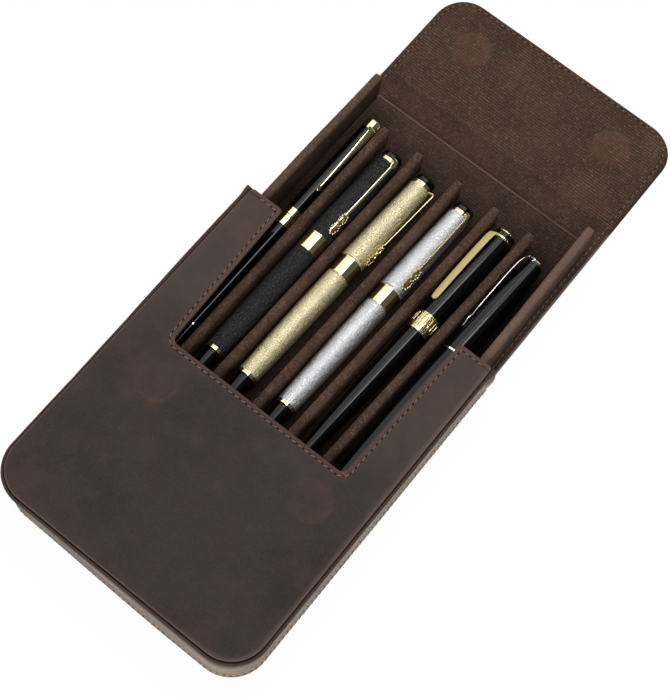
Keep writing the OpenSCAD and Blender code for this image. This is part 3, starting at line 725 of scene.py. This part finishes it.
def alongWall(where):
    # how far round the foot line each point lies
    along = np.zeros(len(where))
    for k, spot in enumerate(where[:, :2]):
        near = int(np.argmin(np.hypot(*(path - spot).T)))
        step = path[min(near + 1, len(path) - 1)] - path[max(near - 1, 0)]
        along[k] = pathAt[near] + (spot - path[near]) @ step/math.hypot(*step)
    return along


def wallGrooveShade(where):
    # painted shade: along the top where the wall meets the panel's rim, on the inner face, and in the hollows
    # between the seam's teeth
    out, z = rimDistance(where), where[:, 2]
    teeth = 0.8*fade(ridgeAt(alongWall(where), z), 0.3, 0.8)*fade(z, 3.4, 5.2)
    return 0.95*(z > 28.5)*fade(out, 0.1, 0.6) + 0.35*(out < -1.2) + teeth*(out > 0.2)


piece("gussetWall", sectionGrid(wallSection, int(pathTotal/wall["step"]), wallPoint),
      "leather", "pouch",
      {"pale": wallPale, "groove": wallGrooveShade, "rub": lambda w: 0.6*smoothStep(w[:, 2], 9, 22)},
      angle=70, replaced=["gusset"])

innerSection = [(-2.98, 1.65), (-2.98, 10), (-2.98, 20), (-2.98, 29.7), (-2.42, 29.8), (-2.42, 15),
                (-2.42, 1.65)]


def innerPoint(out, z, v):
    x, y, nx, ny = stepAlong(path, pathAt, v*pathTotal)
    return x + nx*out, y + ny*out, z


innerShape = sectionGrid(innerSection, int(pathTotal/wall["liningStep"]), innerPoint)
gussetLining = piece("gussetLining", innerShape, "suede", "pouch", replaced=["gusset_lining"])
print("side wall made")

flap = {"length": 167, "corner": 17, "fold1": 91.5, "fold2": 119.8, "reach": 6, "stitchIn": 3.1,
        "stitchPull": 0.3, "magnetY": 142, "magnetSize": 9.4, "magnetRise": 0.3, "liningIn": 0.9,
        "liningUnder": 3.12, "liningTop": 3.7}
middle = (flap["fold1"] + flap["fold2"])/2
seam = pouch["seamWidth"]
flare, seamFoot, seamCorner = half + seam, foot - seam, pouch["corner"] + seam
backCorners = [(-half, 6, 9), *pocket(flare, seamFoot, seamCorner, -1.5, 2.5), (half, 6, 9),
               (half, middle, 0.1), (-half, middle, 0.1)]
tipCorners = pocket(half, middle, 0.1, flap["length"], flap["corner"])


def squareEnd(bm, soft):
    # the two halves of the back meet here, so their ends are left square
    for v in bm.verts:
        if abs(v.co.y/mm - middle) < soft + 0.05:
            v.co.y = middle*mm


def underside(bm, seed):
    # a slight unevenness that keeps the lowest points on the table
    for v in bm.verts:
        if v.co.z < 0.8*mm:
            lift = 0.06 + ripple(v.co.x/mm, v.co.y/mm, 22, 0.06, seed)
            v.co.z += lift*mm*smoothStep(abs(v.co.y/mm - middle), 0, 8)


backShape = slab(backCorners, 0, pouch["leather"], 0.5, cell=4)
tipShape = slab(tipCorners, 0, pouch["leather"], 0.5, cell=4)
for v in backShape.verts:
    v.co.y += tuckAt(v.co.x/mm, v.co.y/mm)*smoothStep(-v.co.y/mm, -foot - 6, -foot)*mm
    v.co.x += tuckAt(v.co.x/mm, v.co.y/mm)*0.7*smoothStep(-v.co.x/mm, half - 6, half)*mm
for shape, seed in ((backShape, 1), (tipShape, 2)):
    underside(shape, seed)
    squareEnd(shape, 0.5)
tipRim = splitAt([p for p in outline(tipCorners, 0) if p[1] > middle + 1])
backRim = splitAt([p for p in outline(backCorners, 0) if p[1] < middle - 1])


def rimPaint(rim, amount, low=0.4, high=1.6):
    return lambda where: amount*fade(distanceTo(where, rim), low, high)


backLeather = piece("backLeather", backShape, "leather", None,
                    {"rub": rimPaint(backRim, 0.5), "pale": rimPaint(backRim, 0.5, 0.2, 0.9)},
                    replaced=["back_leather"])
flapLeather = piece("flapLeather", tipShape, "leather", None,
                    {"rub": rimPaint(tipRim, 0.35)}, replaced=["flap_leather", "spine_leather"])

# linings: one from inside the pouch to the middle of the spine, one from there to the tip
liningTop = flap["liningTop"]
inset = flap["liningIn"]
inFlap, liningTip, tipCorner = half - inset, flap["length"] - inset, flap["corner"] - inset
backLiningCorners = [(-inFlap, 0.4, 0.6), *pocket(inPouch, liningFoot, liningCorner, -0.4, 0.6),
                     (inFlap, 0.4, 0.6), (inFlap, middle, 0.1), (-inFlap, middle, 0.1)]
tipLiningCorners = pocket(inFlap, middle, 0.1, liningTip, tipCorner)
flapMarks = [(s*pouch["magnetSpan"]/2, flap["magnetY"]) for s in (-1, 1)]
backLiningShape = slab(backLiningCorners, flap["liningUnder"], liningTop, 0.25, cell=4)
tipLiningShape = slab(tipLiningCorners, pouch["leather"] + 0.02, liningTop, 0.9, cell=1.8,
                      insets=(1.4, 1.8, 2.2, 2.6, 3.2, 4.2))
stitchLine = splitAt([p for p in outline(tipLiningCorners, flap["stitchIn"] - inset)
                      if p[1] > middle + flap["stitchIn"] - inset + 0.05])


def flapSwell(x, y):
    return ripple(x, y, 34, 0.16, 5)*smoothStep(y, flap["fold2"] - 2, flap["fold2"] + 6)


for v, gap in zip(tipLiningShape.verts, distanceTo(plan(tipLiningShape.verts), stitchLine)):
    x, y = v.co.x/mm, v.co.y/mm
    if v.co.z > (liningTop - 0.3)*mm:
        lift = magnetBump(x, y, flapMarks, flap["magnetSize"], flap["magnetRise"]) + flapSwell(x, y)
        v.co.z += (lift - flap["stitchPull"]*math.exp(-(gap/0.5)**2)*smoothStep(y, middle, middle + 6))*mm
squareEnd(backLiningShape, 0.25)
squareEnd(tipLiningShape, 0.9)

backLining = piece("backLining", backLiningShape, "suede", None, replaced=["back_lining"])
# the lining is rubbed over the magnets, and painted shade darkens it along the stitch line
flapLining = piece("flapLining", tipLiningShape, "flapSuede", None,
                   {"rub": lambda w: magnetRub(w, flapMarks, flap["magnetSize"], 0.95, 0.32),
                    "groove": lambda w: 0.45*np.exp(-(distanceTo(w, stitchLine)/0.45)**2)},
                   replaced=["flap_lining", "spine_lining"])
2*inFlap*mm
2*inFlap*mm
(liningTip - middle)*mm


def onLining(x, y):
    return liningTop - 0.16 + flapSwell(x, y)


flapRow = {"pitch": 3.6, "start": 1.5, "slant": 0.12, "long": 2.3, "thick": 0.55, "finish": "paleThread",
           "slot": "suede"}
backRow = {**flapRow, "start": 3.3, "long": 2.5, "thick": 0.5, "finish": "thread", "slot": "leather"}
sideIn = half - flap["stitchIn"] + 0.15
sideSeams = [[(side*sideIn, 4), (side*sideIn, middle + 1.2)] for side in (-1, 1)]
flapStitches = sew("flapStitches", [stitchLine], flapRow, onLining)
flapBackStitches = sew("flapBackStitches", [stitchLine], backRow, lambda x, y: 0.3)
sideStitches = sew("sideStitches", sideSeams, {**flapRow, "start": 0.5, "thick": 0.5},
                   lambda x, y: liningTop + 0.02)
sideBackStitches = sew("sideBackStitches", sideSeams, {**backRow, "start": 2.3}, lambda x, y: 0.3)


def foldAt(made):
    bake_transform(made)


for made in (backLeather, backLining, sideStitches, sideBackStitches):
    foldAt(made)
for made in (flapLeather, flapLining, flapStitches, flapBackStitches):
    foldAt(made)
print("back panel and flap made")

tray = {"width": 132.6, "wall": 4.4, "end": 89.5, "foot": -86.8, "corner": 13.8, "bottom": 4, "top": 26.6,
        "floor": 7, "floorThick": 0.7, "floorReach": 0.35, "gap": 0.02, "fuzz": 0.15, "fill": 0.9,
        "leftLean": 1, "rightLean": -0.4, "sideCuts": 190, "endCuts": 120, "lipCuts": 90,
        "shade": (8, 22, 0.5), "baseThick": 0.78, "baseShort": 0.32}
trayHalf = tray["width"]/2


def fuzz(x, y, z):
    return tray["fuzz"]*(noise.noise(Vector((x, y, z))*0.9) + 0.6*noise.noise(Vector((x, y, z))*2.2))


def padSection(width, height, swell, sides=6, crown=8):
    # a pad's section from its lower left round the top to its lower right, closed underneath
    r = width/2
    points = [(-r - swell*math.sin(math.pi*k/sides), k/sides*(height - r)) for k in range(sides)]
    for k in range(crown + 1):
        a = math.pi*k/crown
        points.append((-r*math.cos(a), height - r + r*math.sin(a)**0.8))
    points += [(-x, z) for x, z in reversed(points[:sides])]
    return points + [(width*0.2, 0), (-width*0.2, 0)]


def padPoint(section, start, end, base, bend=3, corner=2.4, pinch=0.45, lean=0):
    # places a section along a straight line; its far end is rounded over and pinched in
    start, end = Vector(start), Vector(end)
    along = (end - start).normalized()
    across = Vector((along.y, -along.x))
    length = (end - start).length
    tall = max(z for _, z in section)

    def shape(x, z, v):
        s = v*length
        toEnd = length - s
        if toEnd < bend:
            z = min(z, tall - bend + math.sqrt(max(0, bend**2 - (bend - toEnd)**2)))
        if toEnd < corner:
            x *= 1 - pinch*(1 - toEnd/corner)**2
        x += lean*z/tall*smoothStep(s, length*0.6, length)
        at = start + along*s + across*x
        rough = fuzz(at.x, at.y, z)
        return at.x + across.x*rough, at.y + across.y*rough, base + z + (rough if z > 1 else 0)
    return shape


def pad(name, section, cuts, shape, node, shade, fill, **paints):
    # a padded piece of the tray; low down in the slots its nap is darkened, a painted shade
    low, high, amount = shade
    paints["groove"] = lambda w: amount*fade(w[:, 2], low, high)
    made = piece(name, sectionGrid(section, cuts, shape), "nap", "tray", paints, 60, [node])


sideSection = padSection(tray["wall"], tray["top"] - tray["bottom"], 0)
sideStart, sideEnd = tray["foot"] + tray["corner"], tray["end"]
for side, name in ((-1, "left"), (1, "right")):
    x = side*(trayHalf - tray["wall"]/2)
    shape = padPoint(sideSection, (x, sideStart), (x, sideEnd), tray["bottom"], lean=tray[name + "Lean"])
    # the walls are lighter towards their open ends, and their tops carry a painted highlight, stronger on the
    # right wall
    pad("tray" + name.title() + "Wall", sideSection, tray["sideCuts"], shape, "tray_wall_" + name,
        tray["shade"], tray["fill"],
        seam=lambda w: 0.45*smoothStep(w[:, 1], tray["end"] - 1.6, tray["end"] - 0.2)
        + (0.24 + 0.36*(w[:, 0] > 0))*smoothStep(w[:, 2], 24, 26.3))

# the end wall follows the tray's rounded foot
endPath, endAt = footLine(trayHalf, tray["foot"], tray["corner"], sideStart, tray["wall"]/2)


def endWallPoint(out, z, v):
    x, y, nx, ny = stepAlong(endPath, endAt, v*endAt[-1])
    rough = fuzz(x, y, z)
    return x + nx*(out + rough), y + ny*(out + rough), tray["bottom"] + z + (rough if z > 1 else 0)


pad("trayEndWall", sideSection, tray["endCuts"], endWallPoint, "tray_wall_end", tray["shade"], tray["fill"])

# floor: suede that turns down over the board at the open end
floorHalf = trayHalf - tray["wall"] - tray["gap"]
floorFoot, floorCorner = tray["foot"] + tray["wall"] + tray["gap"], tray["corner"] - tray["wall"]
floorEnd = tray["end"] + tray["floorReach"]
floorCorners = pocket(floorHalf, floorFoot, floorCorner, floorEnd, 0.4)
floorShape = slab(floorCorners, tray["floor"] - tray["floorThick"], tray["floor"], 0.3, cell=4,
                  insets=(0.5, 0.9))
for v in floorShape.verts:
    x, y = v.co.x/mm, v.co.y/mm
    if v.co.z > (tray["floor"] - 0.2)*mm:
        v.co.z += (ripple(x, y, 16, 0.1, 6) - 0.25*fade(floorEnd - y, 0, 0.8))*mm

# worn at the folded edge of the open end; darker further in and towards the right, a painted shade under the
# pens
trayFloor = piece("trayFloor", floorShape, "suede", "tray",
                  {"seam": lambda w: 0.85*smoothStep(w[:, 1], tray["end"] - 0.45, tray["end"] - 0.1),
                   "groove": lambda w: 0.66*fade(w[:, 1], 40, 92) + 0.26*smoothStep(w[:, 0], 8, 50)},
                  replaced=["tray_floor"])
lipSection = [(0, 6.6), (0.34, 6.35), (0.38, 5.6), (0.36, 4.6), (0.2, 4.05), (-0.3, 4.02), (-0.3, 4.75),
              (0.02, 4.78)]


def lipPoint(out, z, v):
    x = -floorHalf + 2*floorHalf*v
    return x, tray["end"] + out + ripple(x, z, 5, 0.05, 2)*(out > 0.1), z


trayLip = piece("trayLip", sectionGrid(lipSection, tray["lipCuts"], lipPoint), "suede", "tray",
                {"seam": lambda w: 0.4*smoothStep(w[:, 2], 5.8, 6.5)})
baseCorners = [(x, min(y, tray["end"] - tray["baseShort"]), r) for x, y, r in floorCorners]
piece("trayBase", slab(baseCorners, tray["bottom"], tray["bottom"] + tray["baseThick"], 0.2, cell=12, side=4),
      "leather", "tray", replaced=["tray_base"])

# the dividers stand fanned, and each strays a little from even spacing
fan = {"pitch": 21.4167, "footPitch": 20.4667, "drift": 4.3, "width": 4.7, "height": 13.5, "swell": 0.06,
       "fill": 0.85, "cuts": 230, "shade": (7, 16, 0.6),
       "strayOpen": (-1.4, -1.9, 0.2, 0.8, 0), "strayFoot": (0, -1.4, 1.2, 1.3, 0.5)}
dividerSection = padSection(fan["width"], fan["height"], fan["swell"])
for i in range(5):
    node = f"divider_{i + 1}"
    low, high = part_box(node)
    start = ((i - 2)*fan["footPitch"] - fan["drift"] + fan["strayFoot"][i], low.y/mm + 0.1)
    end = ((i - 2)*fan["pitch"] + fan["strayOpen"][i], high.y/mm - 0.1)
    shape = padPoint(dividerSection, start, end, tray["floor"], bend=2.6)
    pad(f"divider{i + 1}", dividerSection, fan["cuts"], shape, node, fan["shade"], fan["fill"],
        seam=lambda w: 0.22*smoothStep(w[:, 1], 69, 71))
print("tray made")

# each pen: where its tail stands, and how far it leans to the right over its length
pens = {"slim": ((-52.35, -81.88, 11.65), 0.00002), "black": ((-35.84, -81.9, 13.65), 0.01653),
        "gold": ((-16.65, -81.9, 13.65), 0.02171), "silver": ((5.96, -81.9, 13.65), 0.02635),
        "lacquer": ((26.59, -81.9, 13.45), 0.04445), "large": ((47.03, -81.9, 14.05), 0.04228)}


def onPen(bm, pen, roll):
    # moves work built along +Z, with its clip towards -Y, to a pen; roll turns it about the pen
    tail, slope = pens[pen]
    turn = Matrix.Rotation(-math.asin(slope), 4, "Z") @ Matrix.Rotation(-math.pi/2, 4, "X") \
        @ Matrix.Rotation(math.radians(roll), 4, "Z")
    bmesh.ops.transform(bm, matrix=Matrix.Translation(Vector(tail)*mm) @ turn, verts=bm.verts)
    return bm


def bar(stations, boxy=2.4, twist=0, along=56):
    # a bar through stations of (height, distance out, width, thickness), with their corners rounded
    rows = np.array(stations, float)
    for _ in range(3):
        cut = np.empty((2*len(rows) - 2, 4))
        cut[0::2], cut[1::2] = rows[:-1]*0.75 + rows[1:]*0.25, rows[:-1]*0.25 + rows[1:]*0.75
        rows = np.vstack([rows[:1], cut, rows[-1:]])
    at = np.concatenate([[0], np.cumsum(np.hypot(*np.diff(rows[:, :2], axis=0).T))])

    def shape(u, v):
        s = v*at[-1]
        z, out, wide, thick = (np.interp(s, at, rows[:, k]) for k in range(4))
        rise, climb = (np.interp(s + 0.1, at, row) - np.interp(s - 0.1, at, row) for row in rows.T[:2])
        size = math.hypot(rise, climb)
        c, d = math.cos(2*math.pi*u), math.sin(2*math.pi*u)
        swell = 1 + (0.22*math.cos(4*math.pi*u - twist*s) if twist else 0)
        x = math.copysign(abs(c)**(2/boxy), c)*wide/2*swell
        y = math.copysign(abs(d)**(2/boxy), d)*thick/2*swell
        return x, -(out - y*rise/size), z + y*climb/size
    return mappedGrid(12, along, shape)


def join(*shapes):
    # one bmesh from several
    for extra in shapes[1:]:
        held = bpy.data.meshes.new("held")
        extra.to_mesh(held)
        extra.free()
        shapes[0].from_mesh(held)
        bpy.data.meshes.remove(held)
    return shapes[0]


ornament = {"low": 91.1, "long": 13.5, "out": 7.2, "bead": 0.95}


def drop(wide):
    # a long ornamental drop: a pierced rail with a beaded edge, leaves and a ball at its tip
    low, long, out = ornament["low"], ornament["long"], ornament["out"]
    rail = [(0.85, 0.5, 1), (0.6, 0.62, 0.9), (0.35, 0.56, 0.9), (0.12, 0.66, 1)]
    rail = [(low + up*long, out, part*wide, thick) for up, part, thick in rail]
    bm = bar([(low + long, out, 1.4, 1), *rail, (low, out, 0.9, 0.8)], along=26)
    for k in range(9):
        z = low + long*(0.08 + 0.105*k)
        edge = wide/2*(0.8 - 0.16*math.cos(2*math.pi*k/4))
        for side in (-1, 1):
            bead(bm, (side*edge, -out - 0.15, z), (ornament["bead"], 1, 1.25))
    for k in range(4):
        bead(bm, (0.35*wide*(-1)**k*0.5, -out - 0.55, low + long*(0.42 + 0.14*k)), (1.1, 0.7, 1.9))
    bead(bm, (0, -out - 0.1, low + 0.3), (1.5, 1.4, 1.3))
    return bm


def jewels(spots):
    bm = bmesh.new()
    for x, z in spots:
        bead(bm, (x, -ornament["out"] - 0.62, ornament["low"] + z), (1.25, 0.9, 1.25))
    return bm


slimClip = bar([(149.6, 4.2, 4.4, 1.6), (149.3, 5.9, 4.3, 1), (146, 6.5, 4, 0.9),
                (140, 6.5, 3.3, 0.9), (130, 6.2, 2.5, 0.9), (118, 5.8, 1.8, 0.9),
                (111.6, 5.35, 1.15, 0.9), (109.4, 5.25, 1.3, 0.9), (107.6, 5.6, 2, 1),
                (106.2, 6.1, 1.7, 0.9), (105.7, 6.3, 0.8, 0.6)], boxy=3.2)
blackClip = join(bar([(142.3, 5.4, 3.2, 2), (141.6, 7.3, 3.2, 1.5), (137.8, 7.9, 2.9, 1.4),
                      (136.8, 7.9, 1.4, 1)], boxy=4, along=14),
                 bar([(138, 7.9, 1.7, 1.1), (128, 7.9, 1.7, 1), (112, 7.6, 1.7, 1),
                      (104, 7.2, 1.7, 1)], boxy=3.4), drop(4))
goldClip = join(bar([(140.2, 5.4, 1.5, 1.2), (140.6, 8.3, 0.9, 0.9), (139.6, 8.9, 0.85, 0.85),
                     (136.5, 8.6, 0.8, 0.8), (122, 8.1, 0.8, 0.8), (104, 7.3, 0.8, 0.8)], boxy=2),
                drop(3.4))
silverClip = join(bar([(142, 5.4, 3, 1.8), (141.3, 7.2, 2.8, 1.4), (139, 7.7, 2, 1.1)],
                      boxy=3.4, along=14),
                  bar([(139.6, 7.7, 1.6, 1.2), (125, 7.8, 1.6, 1.2), (104, 7.3, 1.6, 1.2)],
                      boxy=2, twist=3.4, along=220), drop(4.2))
lacquerClip = bar([(142.6, 5.7, 4.6, 1.4), (142.2, 7.3, 4.6, 0.9), (139, 7.9, 4.5, 0.8),
                   (125, 7.8, 4.4, 0.8), (106, 7.2, 4.3, 0.8), (99.2, 6.85, 4.2, 0.8),
                   (97.6, 6.75, 3.6, 0.8), (96.9, 6.7, 2.2, 0.7), (96.7, 6.7, 0.9, 0.6)], boxy=5, along=70)
largeClip = bar([(144.6, 3.2, 3.8, 1), (144.2, 5.2, 3, 1), (142.6, 6.9, 1.6, 0.9),
                 (138.5, 8.1, 1.1, 0.8), (131, 8.4, 1, 0.8), (116, 8, 1.1, 0.8),
                 (104.5, 7.7, 1.3, 0.8), (101.6, 7.4, 1.8, 0.8), (99.8, 7.9, 1.1, 0.8),
                 (97.5, 7.7, 1.5, 0.8), (94.8, 7.35, 1.9, 0.8), (94.2, 7.3, 0.8, 0.6)])

# each clip's roll round its pen, in degrees
clips = {"slim": (28, slimClip, "gold"), "black": (32, blackClip, "gold"), "gold": (68, goldClip, "gold"),
         "silver": (38, silverClip, "gold"), "lacquer": (-40, lacquerClip, "strapGold"),
         "large": (-52, largeClip, "silver")}
for pen, (roll, shape, finish) in clips.items():
    slot = "silver_trim" if finish == "silver" else "gold_trim"
    piece(pen + "Clip", onPen(shape, pen, roll), finish, pen + "_pen", angle=40,
          replaced=[pen + "_pen_clip"])
sleeved = ("black", "gold", "silver")
for pen in sleeved:
    for name, finish, spots in (("RedJewels", "redJewel", [(-0.5, 2), (0.7, 4.6)]),
                                ("GreenJewel", "greenJewel", [(0.2, 7.4)])):
        piece(pen + name, onPen(jewels(spots), pen, clips[pen][0]), finish, pen + "_pen")

# the polished black ends are merged copies, so that their shading is even
for pen in sleeved:
    ends = bmesh.new()
    ends.from_mesh(nodes[pen + "_pen_ends"].data)
    bmesh.ops.remove_doubles(ends, verts=ends.verts, dist=1e-6)
    piece(pen + "Ends", ends, "lacquer", pen + "_pen", angle=42,
          replaced=[pen + "_pen_ends"])

# the solids that keep their own meshes
nodeFinishes = {"lacquer_pen_trim": "chasedGold", "large_pen_trim": "silver",
                "panel_magnets": "magnet", "flap_magnets": "magnet"}
for board in ("back", "front", "flap", "tray"):
    nodeFinishes[board + "_board"] = "board"
for pen in pens:
    nodeFinishes.setdefault(pen + "_pen_trim", "gold")
    for part in ("_pen_cap", "_pen_barrel"):
        nodeFinishes[pen + part] = pen + "Sleeve" if pen in sleeved else "lacquer"
for node, finish in nodeFinishes.items():
    nodes[node].data.materials.clear()
    nodes[node].data.materials.append(finishes[finish])
print("pens finished")
